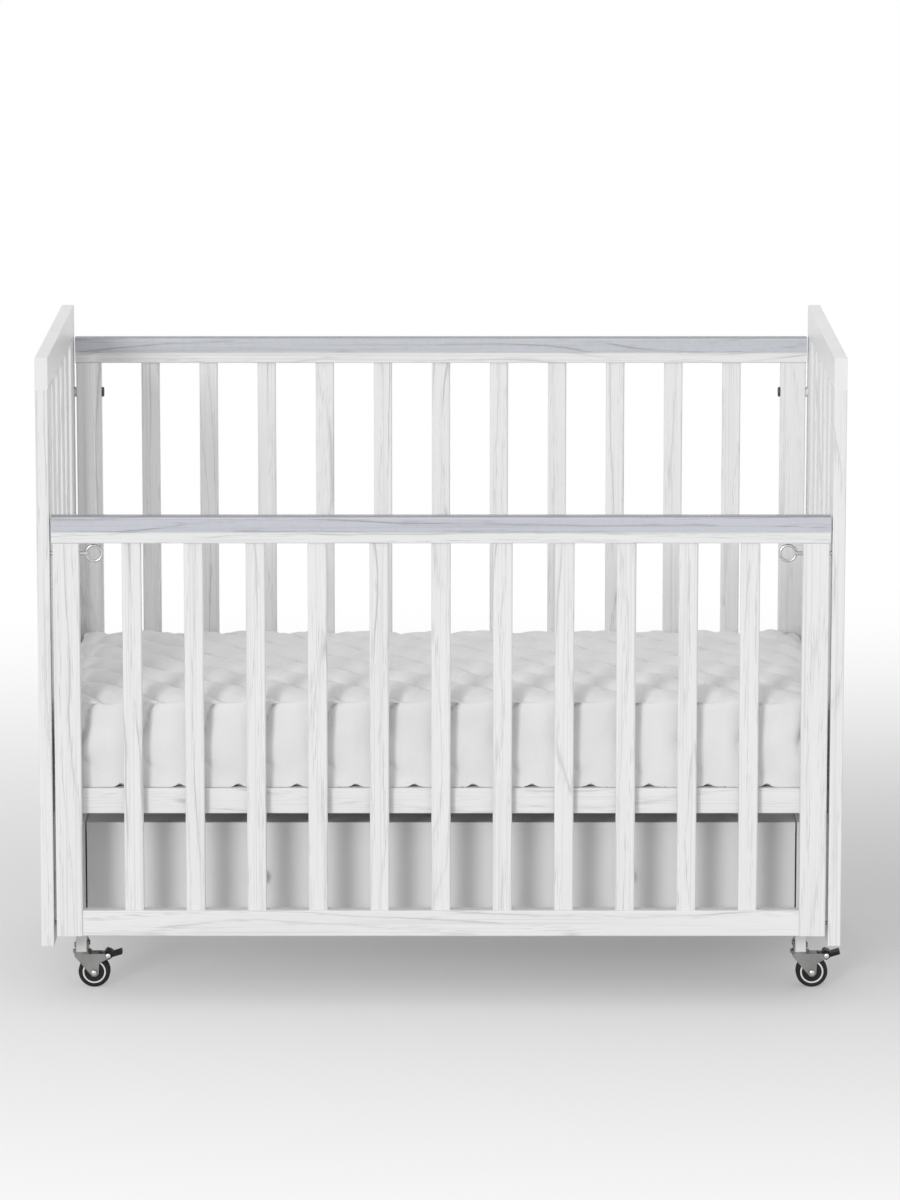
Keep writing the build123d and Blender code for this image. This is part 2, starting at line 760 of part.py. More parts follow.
def castor(name, x, y, braked):
    """One castor's fork, tyre and hub, and its brake pedal where it has one."""
    wheel_x = x + castor_trail
    half_tyre = tyre_width / 2
    cheek_in = half_tyre + fork_side_gap
    cheek_out = cheek_in + fork_cheek
    nose = x + brake_pin_reach + fork_nose_reach
    foot_z = wheel_radius - fork_foot_drop
    outline = Polyline(
        (x - fork_back, fork_top),
        (nose - 3, fork_top),
        (nose, fork_top - 3),
        (nose - 1, brake_pin_height - 3.5),
        (wheel_x + fork_foot + 5, wheel_radius + 14),
        (wheel_x + fork_foot + 4, wheel_radius - 3),
        (wheel_x + fork_foot, foot_z),
        (wheel_x - fork_foot, foot_z),
        (x - fork_back, fork_top - fork_plate),
        (x - fork_back, fork_top),
    )
    cheek = extrude(Plane.XZ * make_face(outline), fork_cheek, dir=(0, 1, 0))
    near = Pos(0, y - cheek_out, 0) * cheek
    far = Pos(0, y + cheek_in, 0) * cheek
    roof_end = x - fork_back + fork_roof_length
    plate = block(
        x - fork_back, roof_end, y - cheek_out, y + cheek_out, fork_top - fork_plate, fork_top
    )
    race = rod((x, y, fork_top), (0, 0, 1), race_height, race_diameter)
    kingpin_hole = kingpin_diameter + 2 * running_gap
    hole = rod((x, y, fork_top - fork_plate), (0, 0, 1), fork_plate + race_height, kingpin_hole)
    axle = capped_pin(wheel_x, y, wheel_radius, cheek_out, axle_diameter, axle_diameter + 2.5, 2)
    fork = plate + near + far + race - hole - axle
    pieces = [axle]

    pin_x = x + brake_pin_reach
    if braked:
        pin = capped_pin(
            pin_x, y, brake_pin_height, cheek_out, brake_pin_diameter, brake_pin_head, 1.5
        )
        fork = fork - pin
        pieces.append(pin)
        add_node("brake_pedal_" + name, brake_pedal(pin_x, y, cheek_in - 0.5))
    add_node("castor_fork_" + name, fork, *pieces)

    near_y = y - half_tyre
    tyre = rod((wheel_x, near_y, wheel_radius), (0, 1, 0), tyre_width, 2 * wheel_radius)
    tyre = fillet(tyre.edges(), 3.0)
    tyre = tyre - rod((wheel_x, near_y, wheel_radius), (0, 1, 0), tyre_width, 2 * tread_inner_radius)
    step = 0.8
    hub_width = tyre_width - 2 * step
    hub = rod(
        (wheel_x, near_y + step, wheel_radius), (0, 1, 0), hub_width, 2 * tread_inner_radius
    )
    cover = rod((wheel_x, near_y, wheel_radius), (0, 1, 0), tyre_width, 2 * hub_cover_radius)
    bore_diameter = axle_diameter + 2 * running_gap
    bore = rod((wheel_x, near_y, wheel_radius), (0, 1, 0), tyre_width, bore_diameter)
    add_node("castor_tyre_" + name, tyre)
    add_node("castor_hub_" + name, hub + cover - bore)


def brake_pedal(pin_x, y, half_width):
    """A bent lever round the brake pin, with a nose over the tread and a tread plate outside."""
    pin_z = brake_pin_height
    outline = Polyline(
        (pin_x - 6, pin_z - 1),
        (pin_x - 5.5, pin_z + 6),
        (pin_x - 2, pin_z + 8.5),
        (pin_x + 4, pin_z + 7),
        (pin_x + 8, pin_z + 3.5),
        (pin_x + pedal_reach - 1, pin_z + pedal_rise),
        (pin_x + pedal_reach, pin_z + pedal_rise - pedal_thickness),
        (pin_x + 7, pin_z - 3),
        (pin_x + 1, pin_z - 7.5),
        (pin_x - 2.5, pin_z - 7),
        (pin_x - 6, pin_z - 1),
    )
    lever = extrude(Plane.XZ * make_face(outline), 2 * half_width, dir=(0, 1, 0))
    lever = Pos(0, y - half_width, 0) * lever
    bore_diameter = brake_pin_diameter + 2 * running_gap
    bore = rod((pin_x, y - half_width, pin_z), (0, 1, 0), 2 * half_width, bore_diameter)
    return lever - bore


def castors():
    brackets = []
    for side, x in (("right", castor_x), ("left", -castor_x)):
        for end, y in (("front", -wheel_y), ("rear", wheel_y)):
            castor(end + "_" + side, x, y, braked=end == "front")
            brackets.append(castor_bracket(x, y))
    holes = [s for screw in castor_screw_shapes() for s in both_sides(screw)]
    add_node("castor_brackets", *[cut_all(b, holes) for b in brackets])


end_panels()
rear_side()
mattress_base()
mattress()
drop_side()
track_screws = swing_gear()
pedestal(track_screws)
drawer()
castors()

os.makedirs("parts", exist_ok=True)
for name, shape in nodes.items():
    export_step(shape, "parts/" + name + ".step")
print(len(nodes), "nodes written")
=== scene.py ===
import math

import bpy
import numpy as np
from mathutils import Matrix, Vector, noise


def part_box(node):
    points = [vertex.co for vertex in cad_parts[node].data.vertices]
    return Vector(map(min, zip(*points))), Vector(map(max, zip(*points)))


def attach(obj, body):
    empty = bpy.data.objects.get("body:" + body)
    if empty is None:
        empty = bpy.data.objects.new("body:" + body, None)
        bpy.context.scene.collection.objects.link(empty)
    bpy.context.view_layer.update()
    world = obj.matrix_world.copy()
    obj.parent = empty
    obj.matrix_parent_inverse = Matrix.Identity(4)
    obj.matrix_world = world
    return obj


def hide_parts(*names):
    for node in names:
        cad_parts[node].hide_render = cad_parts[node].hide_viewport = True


# Pendulum crib with a drop side, a quilted mattress and a wheeled drawer pedestal.
# Metres. +X runs along the length, +Y to the fixed rear side, +Z up.

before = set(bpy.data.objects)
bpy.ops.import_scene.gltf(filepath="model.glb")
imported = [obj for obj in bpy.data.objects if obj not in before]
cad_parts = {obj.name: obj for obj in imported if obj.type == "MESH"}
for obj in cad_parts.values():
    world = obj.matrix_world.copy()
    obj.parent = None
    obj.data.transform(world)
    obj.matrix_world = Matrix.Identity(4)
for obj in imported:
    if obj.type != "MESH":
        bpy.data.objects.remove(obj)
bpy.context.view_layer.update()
scene = bpy.context.scene
print("frame loaded:", len(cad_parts), "nodes")


def clearSelection():
    bpy.ops.object.select_all(action="DESELECT")
    bpy.context.view_layer.objects.active = None


def makeActive(obj):
    clearSelection()
    obj.select_set(True)
    bpy.context.view_layer.objects.active = obj


def applyModifiers(obj):
    makeActive(obj)
    for modifier in list(obj.modifiers):
        bpy.ops.object.modifier_apply(modifier=modifier.name)


def addModifier(obj, kind, **settings):
    modifier = obj.modifiers.new(kind.title(), kind)
    for key, value in settings.items():
        setattr(modifier, key, value)
    return modifier


def finishMesh(obj, name, smoothAngle=35):
    makeActive(obj)
    bpy.ops.object.transform_apply(location=True, rotation=True, scale=True)
    bpy.ops.object.shade_smooth_by_angle(angle=math.radians(smoothAngle))
    obj.name = name
    return obj


def placeCopy(source, name, move, turnZ=0.0):  # each copy gets its own mesh
    makeActive(source)
    bpy.ops.object.duplicate()
    copy = bpy.context.active_object
    copy.rotation_euler[2] = turnZ
    copy.location = move
    return finishMesh(copy, name)


def dress(obj, material, body):
    obj.data.materials.clear()
    obj.data.materials.append(material)
    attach(obj, body)
    return obj


# Camera of the photograph
cameraSetup = {
    "place": (0.0, -9.026, 2.194),
    "pitchDown": 10.1,  # degrees below level
    "lens": 172.15,
    "shiftX": 0.0075,
}


def addCamera():
    data = bpy.data.cameras.new("photoCamera")
    data.lens = cameraSetup["lens"]
    data.sensor_width = 36
    data.shift_x = cameraSetup["shiftX"]
    data.clip_end = 200
    camera = bpy.data.objects.new("photoCamera", data)
    camera.location = cameraSetup["place"]
    camera.rotation_euler = (math.radians(90 - cameraSetup["pitchDown"]), 0, 0)
    scene.collection.objects.link(camera)
    scene.camera = camera


addCamera()


# Light, world and floor
studio = {
    "worldLevel": 0.74,
    "keyStrength": 1.15,
    "keyAzimuth": 23,  # degrees to the left of the camera
    "keyHeight": 15,  # degrees above level
    "keyAngle": 14,
    "floorTone": 0.733,
    "floorSize": 90,
    "fadeStart": -0.27,  # metres from the crib, on an ellipse
    "fadeEnd": 2.89,
    "fadeShape": (0.39, 1.0, 1.0),
    "fadeShift": (-0.52, -0.49, 0.0),
}


def shownDirectly(tree):  # 1 for a ray from the camera, a gloss or clear glass, 0 for the light on the crib
    path = tree.nodes.new("ShaderNodeLightPath")
    shown = path.outputs["Is Camera Ray"]
    for ray in ("Is Glossy Ray", "Is Transmission Ray"):
        larger = tree.nodes.new("ShaderNodeMath")
        larger.operation = "MAXIMUM"
        tree.links.new(shown, larger.inputs[0])
        tree.links.new(path.outputs[ray], larger.inputs[1])
        shown = larger.outputs[0]
    return shown


def addWorld():
    world = bpy.data.worlds.new("studioWorld")
    scene.world = world
    world.use_nodes = True
    tree = world.node_tree
    tree.nodes.clear()
    out = tree.nodes.new("ShaderNodeOutputWorld")
    back = tree.nodes.new("ShaderNodeBackground")
    level = tree.nodes.new("ShaderNodeMapRange")
    level.inputs["To Min"].default_value = studio["worldLevel"]
    level.inputs["To Max"].default_value = 1.0
    tree.links.new(shownDirectly(tree), level.inputs["Value"])
    back.inputs["Color"].default_value = (1, 1, 1, 1)
    tree.links.new(level.outputs["Result"], back.inputs["Strength"])
    tree.links.new(back.outputs[0], out.inputs[0])


def addKeyLight():
    key = bpy.data.lights.new("keyLight", "SUN")
    key.energy = studio["keyStrength"]
    key.angle = math.radians(studio["keyAngle"])
    lamp = bpy.data.objects.new("keyLight", key)
    azimuth, height = math.radians(studio["keyAzimuth"]), math.radians(studio["keyHeight"])
    toLamp = Vector((
        -math.sin(azimuth) * math.cos(height), -math.cos(azimuth) * math.cos(height), math.sin(height)
    ))
    lamp.rotation_euler = toLamp.to_track_quat("Z", "Y").to_euler()
    scene.collection.objects.link(lamp)


def makeFloorMaterial():  # grey paper that turns white away from the crib, but not for the light on the crib
    material = bpy.data.materials.new("floorPaper")
    material.use_nodes = True
    tree = material.node_tree
    tree.nodes.clear()
    out = tree.nodes.new("ShaderNodeOutputMaterial")
    paper = tree.nodes.new("ShaderNodeBsdfDiffuse")
    tone = studio["floorTone"]
    paper.inputs["Color"].default_value = (tone, tone, tone, 1)
    glow = tree.nodes.new("ShaderNodeEmission")
    glow.inputs["Color"].default_value = (1, 1, 1, 1)
    coords = tree.nodes.new("ShaderNodeTexCoord")
    mapping = tree.nodes.new("ShaderNodeMapping")
    mapping.inputs["Scale"].default_value = studio["fadeShape"]
    mapping.inputs["Location"].default_value = studio["fadeShift"]
    length = tree.nodes.new("ShaderNodeVectorMath")
    length.operation = "LENGTH"
    fade = tree.nodes.new("ShaderNodeMapRange")
    fade.interpolation_type = "SMOOTHSTEP"
    fade.inputs["From Min"].default_value = studio["fadeStart"]
    fade.inputs["From Max"].default_value = studio["fadeEnd"]
    seen = tree.nodes.new("ShaderNodeMath")
    seen.operation = "MULTIPLY"
    mix = tree.nodes.new("ShaderNodeMixShader")
    tree.links.new(coords.outputs["Object"], mapping.inputs["Vector"])
    tree.links.new(mapping.outputs[0], length.inputs[0])
    tree.links.new(length.outputs["Value"], fade.inputs["Value"])
    tree.links.new(fade.outputs["Result"], seen.inputs[0])
    tree.links.new(shownDirectly(tree), seen.inputs[1])
    tree.links.new(seen.outputs[0], mix.inputs["Fac"])
    tree.links.new(paper.outputs[0], mix.inputs[1])
    tree.links.new(glow.outputs[0], mix.inputs[2])
    tree.links.new(mix.outputs[0], out.inputs["Surface"])
    return material


def addFloor():
    clearSelection()
    bpy.ops.mesh.primitive_plane_add(size=studio["floorSize"], location=(0, 0, 0))
    floor = bpy.context.active_object
    floor.name = "studioFloor"
    floor.data.materials.append(makeFloorMaterial())


addWorld()
addKeyLight()
addFloor()
scene.view_settings.view_transform = "Standard"
print("studio ready")


# Shared effects as node groups
def newGroup(name, inputs, outputs):
    group = bpy.data.node_groups.new(name, "ShaderNodeTree")
    kinds = {"v": "NodeSocketVector", "f": "NodeSocketFloat", "c": "NodeSocketColor"}
    for socketName, kind, value in inputs:
        socket = group.interface.new_socket(socketName, in_out="INPUT", socket_type=kinds[kind])
        if value is not None:
            socket.default_value = value
    for socketName, kind in outputs:
        group.interface.new_socket(socketName, in_out="OUTPUT", socket_type=kinds[kind])
    return group, group.nodes.new("NodeGroupInput"), group.nodes.new("NodeGroupOutput")


def addMath(tree, operation, a, b=None, clamp=False):
    node = tree.nodes.new("ShaderNodeMath")
    node.operation = operation
    node.use_clamp = clamp
    for socket, value in zip(node.inputs, (a, b)):
        if value is None:
            continue
        if isinstance(value, (int, float)):
            socket.default_value = value
        else:
            tree.links.new(value, socket)
    return node.outputs[0]


def addNoise(tree, vector, scale, detail=2.0, roughness=0.5, distortion=0.0):
    node = tree.nodes.new("ShaderNodeTexNoise")
    node.inputs["Scale"].default_value = scale
    node.inputs["Detail"].default_value = detail
    node.inputs["Roughness"].default_value = roughness
    node.inputs["Distortion"].default_value = distortion
    tree.links.new(vector, node.inputs["Vector"])
    return node.outputs["Fac"]


def stretch(tree, vector, scale):
    node = tree.nodes.new("ShaderNodeVectorMath")
    node.operation = "MULTIPLY"
    node.inputs[1].default_value = scale
    tree.links.new(vector, node.inputs[0])
    return node.outputs[0]


def ramp(tree, value, low, high, outLow=0.0, outHigh=1.0):
    node = tree.nodes.new("ShaderNodeMapRange")
    node.interpolation_type = "SMOOTHSTEP"
    node.inputs["From Min"].default_value = low
    node.inputs["From Max"].default_value = high
    node.inputs["To Min"].default_value = outLow
    node.inputs["To Max"].default_value = outHigh
    tree.links.new(value, node.inputs["Value"])
    return node.outputs["Result"]


def mixColours(tree, factor, a, b):
    node = tree.nodes.new("ShaderNodeMix")
    node.data_type = "RGBA"
    for socket, value in zip((node.inputs["Factor"], node.inputs[6], node.inputs[7]), (factor, a, b)):
        if isinstance(value, tuple):
            socket.default_value = value
        else:
            tree.links.new(value, socket)
    return node.outputs[2]


ashGrain = {
    "ringsPerMetre": 105.0,
    "slant": 0.45,  # how far the rings lean over in the depth
    "flame": 8.0, "flameStretch": (1.3, 9, 9),  # how far the rings wander
    "wobble": 0.35, "wobbleStretch": (9, 60, 60),
    "lineHalf": 0.11, "bandCore": 0.05, "bandHalf": 0.34,  # shares of a ring
    "breakStretch": (3.2, 64, 64),
    "boldStretch": (2, 30, 30), "faintLine": 0.26, "boldLine": 0.66,
    "poreStretch": (24, 900, 900), "openPores": 0.08, "bandPores": 0.38,
    "streakStretch": (2.4, 420, 420), "streakShare": 0.22,
    "cloudStretch": (2.5, 22, 22), "cloudShare": 0.06,
    "paint": (0.83, 0.83, 0.832, 1),
    "pore": (0.38, 0.38, 0.39, 1),
}


def makeAshGroup():  # brushed ash under white paint: rings in flames, and fine open pores along them
    made = ashGrain
    group, entry, leave = newGroup(
        "brushedAsh",
        [("Vector", "v", None), ("Strength", "f", 1.0), ("Paint", "c", made["paint"]),
         ("Pore", "c", made["pore"])],
        [("Color", "c"), ("Roughness", "f"), ("Height", "f")],
    )
    vector = entry.outputs["Vector"]
    split = group.nodes.new("ShaderNodeSeparateXYZ")
    group.links.new(vector, split.inputs[0])

    def drawnOut(key, detail):  # noise drawn out along the grain
        return addNoise(group, stretch(group, vector, made[key]), 1.0, detail)

    lean = addMath(group, "MULTIPLY", split.outputs[2], made["slant"])
    rings = addMath(group, "MULTIPLY", addMath(group, "ADD", split.outputs[1], lean), made["ringsPerMetre"])
    for noiseKey, detail, share in (("flameStretch", 1.5, "flame"), ("wobbleStretch", 2.0, "wobble")):
        stray = addMath(group, "MULTIPLY", drawnOut(noiseKey, detail), made[share])
        rings = addMath(group, "ADD", rings, stray)
    place = addMath(group, "FRACT", rings)
    distance = addMath(group, "ABSOLUTE", addMath(group, "SUBTRACT", place, 0.5))
    ringLine = ramp(group, distance, 0.0, made["lineHalf"], 1.0, 0.0)
    ringBand = ramp(group, distance, made["bandCore"], made["bandHalf"], 1.0, 0.0)
    breaks = ramp(group, drawnOut("breakStretch", 3.0), 0.42, 0.60)
    bold = ramp(group, drawnOut("boldStretch", 1.0), 0.40, 0.66, made["faintLine"], made["boldLine"])
    pores = ramp(group, drawnOut("poreStretch", 1.0), 0.52, 0.68)
    streaks = ramp(group, drawnOut("streakStretch", 1.5), 0.54, 0.66)
    poreShare = addMath(group, "MULTIPLY", ringBand, made["bandPores"])
    fine = addMath(group, "MULTIPLY", pores, addMath(group, "ADD", poreShare, made["openPores"]))
    lines = addMath(group, "MULTIPLY", addMath(group, "MULTIPLY", ringLine, breaks), bold)
    marks = addMath(group, "MAXIMUM", lines, fine)
    marks = addMath(group, "MAXIMUM", marks, addMath(group, "MULTIPLY", streaks, made["streakShare"]))
    marks = addMath(group, "MULTIPLY", marks, entry.outputs["Strength"], clamp=True)
    clouds = ramp(group, drawnOut("cloudStretch", 2.0), 0.35, 0.7, 0.0, made["cloudShare"])
    marks = addMath(group, "MAXIMUM", marks, clouds)
    colour = mixColours(group, marks, entry.outputs["Paint"], entry.outputs["Pore"])
    group.links.new(colour, leave.inputs["Color"])
    group.links.new(ramp(group, marks, 0.0, 0.8, 0.38, 0.62), leave.inputs["Roughness"])
    group.links.new(addMath(group, "SUBTRACT", 1.0, marks), leave.inputs["Height"])
    return group


def makeSurfaceGroup():  # faint tone drift and fine unevenness of a painted, moulded or cast surface
    group, entry, leave = newGroup(
        "surfaceDrift",
        [("Vector", "v", None), ("Colour", "c", (0.8, 0.8, 0.8, 1)), ("Shade", "c", (0.7, 0.7, 0.7, 1)),
         ("Drift", "f", 6.0), ("Fine", "f", 400.0), ("Rough", "f", 0.4)],
        [("Color", "c"), ("Roughness", "f"), ("Height", "f")],
    )
    drift = group.nodes.new("ShaderNodeTexNoise")
    drift.inputs["Detail"].default_value = 3.0
    fine = group.nodes.new("ShaderNodeTexNoise")
    fine.inputs["Detail"].default_value = 2.0
    for node, scale in ((drift, "Drift"), (fine, "Fine")):
        group.links.new(entry.outputs["Vector"], node.inputs["Vector"])
        group.links.new(entry.outputs[scale], node.inputs["Scale"])
    patch = ramp(group, drift.outputs["Fac"], 0.35, 0.68)
    colour = mixColours(group, patch, entry.outputs["Colour"], entry.outputs["Shade"])
    group.links.new(colour, leave.inputs["Color"])
    change = addMath(group, "MULTIPLY", addMath(group, "SUBTRACT", fine.outputs["Fac"], 0.5), 0.22)
    group.links.new(addMath(group, "ADD", entry.outputs["Rough"], change), leave.inputs["Roughness"])
    group.links.new(fine.outputs["Fac"], leave.inputs["Height"])
    return group


coverKnit = {
    "loops": 700.0,
    "rows": (1.0, 0.8, 0.8),  # how strongly the loops show along X, Y and Z
    "fuzz": 900.0, "fuzzShare": 0.3,
    "drift": 9.0,
    "yarn": (0.80, 0.80, 0.80, 1), "shade": (0.76, 0.76, 0.765, 1),
}


def makeKnitGroup():  # fine ribbed knit of a mattress cover
    group, entry, leave = newGroup(
        "coverKnit",
        [("Vector", "v", None), ("Loops", "f", coverKnit["loops"])],
        [("Color", "c"), ("Height", "f")],
    )
    split = group.nodes.new("ShaderNodeSeparateXYZ")
    group.links.new(entry.outputs["Vector"], split.inputs[0])
    rows = []
    for index, weight in enumerate(coverKnit["rows"]):
        turn = addMath(group, "MULTIPLY", split.outputs[index], entry.outputs["Loops"])
        rows.append(addMath(group, "MULTIPLY", addMath(group, "SINE", turn), weight))
    weave = addMath(group, "MULTIPLY", rows[0], addMath(group, "ADD", rows[1], rows[2]))
    weave = addMath(group, "ADD", addMath(group, "MULTIPLY", weave, 0.25), 0.5)
    fuzz = addNoise(group, entry.outputs["Vector"], coverKnit["fuzz"], 2.0)
    loops = addMath(group, "MULTIPLY", weave, 1 - coverKnit["fuzzShare"])
    height = addMath(group, "ADD", loops, addMath(group, "MULTIPLY", fuzz, coverKnit["fuzzShare"]))
    drift = ramp(group, addNoise(group, entry.outputs["Vector"], coverKnit["drift"], 3.0), 0.35, 0.7)
    colour = mixColours(group, drift, coverKnit["yarn"], coverKnit["shade"])
    group.links.new(colour, leave.inputs["Color"])
    group.links.new(height, leave.inputs["Height"])
    return group


ashGroup = makeAshGroup()
surfaceGroup = makeSurfaceGroup()
knitGroup = makeKnitGroup()


def startMaterial(name, **values):
    material = bpy.data.materials.new(name)
    material.use_nodes = True
    shader = material.node_tree.nodes["Principled BSDF"]
    for key, value in values.items():
        shader.inputs[key].default_value = value
    return material, material.node_tree, shader


def addBump(tree, shader, height, strength, distance):
    bump = tree.nodes.new("ShaderNodeBump")
    bump.inputs["Strength"].default_value = strength
    bump.inputs["Distance"].default_value = distance
    tree.links.new(height, bump.inputs["Height"])
    tree.links.new(bump.outputs[0], shader.inputs["Normal"])


paintedAsh = {"specular": 0.35, "bump": 0.35, "poreDepth": 0.0006, "grain": {}}
bareBatten = {
    "specular": 0.3, "bump": 0.25, "poreDepth": 0.0005,
    "grain": {"Strength": 0.6, "Paint": (0.50, 0.49, 0.475, 1), "Pore": (0.26, 0.25, 0.235, 1)},
}


def makeAshMaterial(name, turn, shift=(0, 0, 0), finish=paintedAsh):  # turn brings the grain onto X
    material, tree, shader = startMaterial(name, **{"Specular IOR Level": finish["specular"]})
    coords = tree.nodes.new("ShaderNodeTexCoord")
    mapping = tree.nodes.new("ShaderNodeMapping")
    mapping.inputs["Rotation"].default_value = turn
    mapping.inputs["Location"].default_value = shift
    grain = tree.nodes.new("ShaderNodeGroup")
    grain.node_tree = ashGroup
    for key, value in finish["grain"].items():
        grain.inputs[key].default_value = value
    tree.links.new(coords.outputs["Object"], mapping.inputs[0])
    tree.links.new(mapping.outputs[0], grain.inputs["Vector"])
    tree.links.new(grain.outputs["Color"], shader.inputs["Base Color"])
    tree.links.new(grain.outputs["Roughness"], shader.inputs["Roughness"])
    addBump(tree, shader, grain.outputs["Height"], finish["bump"], finish["poreDepth"])
    return material


def makeSurfaceMaterial(name, colour, shade, drift, fine, rough, bump=0.15, **values):
    material, tree, shader = startMaterial(name, **values)
    coords = tree.nodes.new("ShaderNodeTexCoord")
    surface = tree.nodes.new("ShaderNodeGroup")
    surface.node_tree = surfaceGroup
    surface.inputs["Colour"].default_value = (*colour, 1)
    surface.inputs["Shade"].default_value = (*shade, 1)
    surface.inputs["Drift"].default_value = drift
    surface.inputs["Fine"].default_value = fine
    surface.inputs["Rough"].default_value = rough
    tree.links.new(coords.outputs["Object"], surface.inputs["Vector"])
    tree.links.new(surface.outputs["Color"], shader.inputs["Base Color"])
    tree.links.new(surface.outputs["Roughness"], shader.inputs["Roughness"])
    addBump(tree, shader, surface.outputs["Height"], bump, 0.0004)
    return material


def makeKnitMaterial():
    material, tree, shader = startMaterial(
        "mattressKnit", **{"Roughness": 0.85, "Sheen Weight": 0.25, "Specular IOR Level": 0.2}
    )
    coords = tree.nodes.new("ShaderNodeTexCoord")
    knit = tree.nodes.new("ShaderNodeGroup")
    knit.node_tree = knitGroup
    tree.links.new(coords.outputs["Object"], knit.inputs["Vector"])
    tree.links.new(knit.outputs["Color"], shader.inputs["Base Color"])
    addBump(tree, shader, knit.outputs["Height"], 0.30, 0.0008)
    return material


stripMake = {
    "alpha": 0.82,
    "film": (0.70, 0.72, 0.775, 1), "grain": (0.36, 0.37, 0.40, 1), "grainStrength": 1.3,
    "edge": (0.33, 0.34, 0.37, 1), "edgeStart": 0.55, "edgeFull": 0.95,  # painted shade on the faces that look up, by how far the face looks up
    "patches": 60.0, "roughLow": 0.24, "roughHigh": 0.36,
}


def makeStripMaterial():  # bluish film with the rail's grain showing through, and a painted shade along its top
    material, tree, shader = startMaterial(
        "clearStrip", **{"Alpha": stripMake["alpha"], "Specular IOR Level": 0.35, "Coat Weight": 0.2}
    )
    coords = tree.nodes.new("ShaderNodeTexCoord")
    grain = tree.nodes.new("ShaderNodeGroup")
    grain.node_tree = ashGroup
    grain.inputs["Strength"].default_value = stripMake["grainStrength"]
    grain.inputs["Paint"].default_value = stripMake["film"]
    grain.inputs["Pore"].default_value = stripMake["grain"]
    tree.links.new(coords.outputs["Object"], grain.inputs["Vector"])
    facing = tree.nodes.new("ShaderNodeNewGeometry")
    split = tree.nodes.new("ShaderNodeSeparateXYZ")
    tree.links.new(facing.outputs["Normal"], split.inputs[0])
    # faces that look up are mixed towards the darker edge colour: painted shade along the strip's top
    paintedTopShade = ramp(tree, split.outputs[2], stripMake["edgeStart"], stripMake["edgeFull"])
    colour = mixColours(tree, paintedTopShade, grain.outputs["Color"], stripMake["edge"])
    patches = addNoise(tree, coords.outputs["Object"], stripMake["patches"], 2.0)
    gloss = ramp(tree, patches, 0.3, 0.7, stripMake["roughLow"], stripMake["roughHigh"])
    tree.links.new(colour, shader.inputs["Base Color"])
    tree.links.new(gloss, shader.inputs["Roughness"])
    return material


quarter = math.radians(90)
materials = {
    "ashLong": makeAshMaterial("ashAlongLength", (0, 0, 0)),
    "ashUp": makeAshMaterial("ashUpright", (0, quarter, 0), shift=(0.4, 0.1, 0.3)),
    "ashDeep": makeAshMaterial("ashAcross", (0, 0, quarter)),
    "smoothPaint": makeSurfaceMaterial("smoothPaint", (0.83, 0.83, 0.83), (0.79, 0.79, 0.79), 7, 900, 0.36),
    "panelPaint": makeSurfaceMaterial("panelPaint", (0.80, 0.80, 0.80), (0.77, 0.77, 0.77), 4, 1200, 0.55),
    "battenWood": makeAshMaterial("battenWood", (0, 0, quarter), finish=bareBatten),
    "clearStrip": makeStripMaterial(),
    "mattressKnit": makeKnitMaterial(),
    "zincSteel": makeSurfaceMaterial(
        "zincSteel", (0.30, 0.30, 0.295), (0.26, 0.26, 0.255), 40, 1500, 0.42, Metallic=0.85
    ),
    "darkBolt": makeSurfaceMaterial(
        "darkBolt", (0.10, 0.10, 0.10), (0.06, 0.06, 0.06), 200, 1500, 0.38, Metallic=0.6
    ),
    "brightPin": makeSurfaceMaterial(
        "brightPin", (0.80, 0.80, 0.80), (0.70, 0.70, 0.70), 120, 1500, 0.20, 0.05, Metallic=1.0
    ),
    "latchSteel": makeSurfaceMaterial(
        "latchSteel", (0.60, 0.60, 0.60), (0.48, 0.48, 0.48), 160, 1500, 0.28, 0.08, Metallic=1.0
    ),
    "springSteel": makeSurfaceMaterial(
        "springSteel", (0.55, 0.55, 0.55), (0.42, 0.42, 0.42), 200, 1500, 0.32, Metallic=1.0
    ),
    "whiteNylon": makeSurfaceMaterial(
        "whiteNylon", (0.80, 0.80, 0.79), (0.75, 0.75, 0.74), 60, 900, 0.42
    ),
    "blackPlastic": makeSurfaceMaterial(
        "blackPlastic", (0.018, 0.018, 0.019), (0.010, 0.010, 0.011), 90, 1600, 0.46, 0.2,
        **{"Specular IOR Level": 0.22}
    ),
    "tyreRubber": makeSurfaceMaterial(
        "tyreRubber", (0.022, 0.022, 0.022), (0.012, 0.012, 0.012), 60, 1300, 0.66, 0.3,
        **{"Specular IOR Level": 0.25}
    ),
    "bufferRubber": makeSurfaceMaterial(
        "bufferRubber", (0.03, 0.03, 0.03), (0.02, 0.02, 0.02), 120, 1300, 0.7, 0.3
    ),
}

nodeMaterials = {
    "ashLong": ["rear_top_rail", "rear_bottom_rail", "drop_top_rail", "drop_bottom_rail", "base_rails"],
    "ashUp": ["end_posts", "end_slats", "rear_stiles", "rear_slats", "drop_stiles", "drop_slats"],
    "ashDeep": ["end_bottom_rails"],
    "smoothPaint": ["end_caps", "drawer_knobs"],
    "panelPaint": ["pedestal_side_left", "pedestal_side_right", "pedestal_top_rail", "pedestal_back",
                   "drawer_front", "drawer_sides", "drawer_back", "drawer_bottom"],
    "battenWood": ["base_ledgers", "base_slats", "drawer_runners"],
    "clearStrip": ["rear_rail_strip", "drop_rail_strip"],
    "darkBolt": ["rear_side_bolts"],
    "whiteNylon": ["rear_side_spacers"],
    "latchSteel": ["latch_pin_left", "latch_pin_right"],
    "springSteel": ["latch_spring_left", "latch_spring_right"],
    "zincSteel": ["base_bolts", "roller_bolts", "drop_guide_pins", "pedestal_screws", "swing_tracks",
                  "castor_brackets", "knob_screws"],
    "bufferRubber": ["swing_buffers"],
}
corners = ["front_right", "rear_right", "front_left", "rear_left"]
